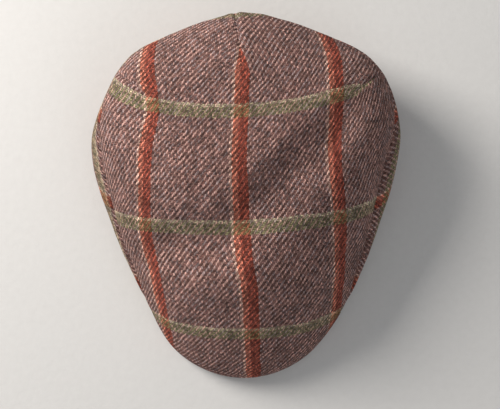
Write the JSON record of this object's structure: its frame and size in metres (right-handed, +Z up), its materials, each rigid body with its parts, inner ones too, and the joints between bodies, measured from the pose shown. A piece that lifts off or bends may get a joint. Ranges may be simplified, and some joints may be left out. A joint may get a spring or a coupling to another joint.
{
  "type": "flat cap",
  "caption": "Soft tweed flat cap with a one-piece top sewn down over a stiff peak, side panels, satin lining and a sweatband round the head opening.",
  "frame": {"origin": "middle of the cap's outer box, at the height of the rim's underside, which is what the cap rests on", "axes": "+Z up, from the rim to the crown; the peak points towards -Y; +X is the wearer's left"},
  "size_m": [0.2328, 0.2768, 0.106],
  "materials": {
    "tweed": "coarse wool twill, mauve-brown heather with rust and green overchecks",
    "tweed_trim": "the same wool twill",
    "board": "flexible peak board",
    "canvas": "fused canvas interlining and tape",
    "satin": "satin lining",
    "satin_tape": "bias-cut satin tape",
    "band": "closely woven cotton band",
    "elastic": "woven elastic",
    "label": "plain woven tape, nothing on it"
  },
  "bodies": {
    "root": {"crown_top_panel": "tweed", "side_panel_left": "tweed", "side_panel_right": "tweed", "peak_upper_cover": "tweed_trim", "peak_under_cover": "tweed_trim", "peak_board": "board", "top_interlining": "canvas", "side_interlining_left": "canvas", "side_interlining_right": "canvas", "lining_top": "satin", "lining_side_left": "satin", "lining_side_right": "satin", "lining_seam_tape_left": "satin_tape", "lining_seam_tape_right": "satin_tape", "sweatband_front": "band", "sweatband_back": "band", "sweatband_piping": "band", "sweatband_backing": "canvas", "back_elastic": "elastic", "size_tab": "label", "lining_patch": "label"}
  },
  "joints": []
}
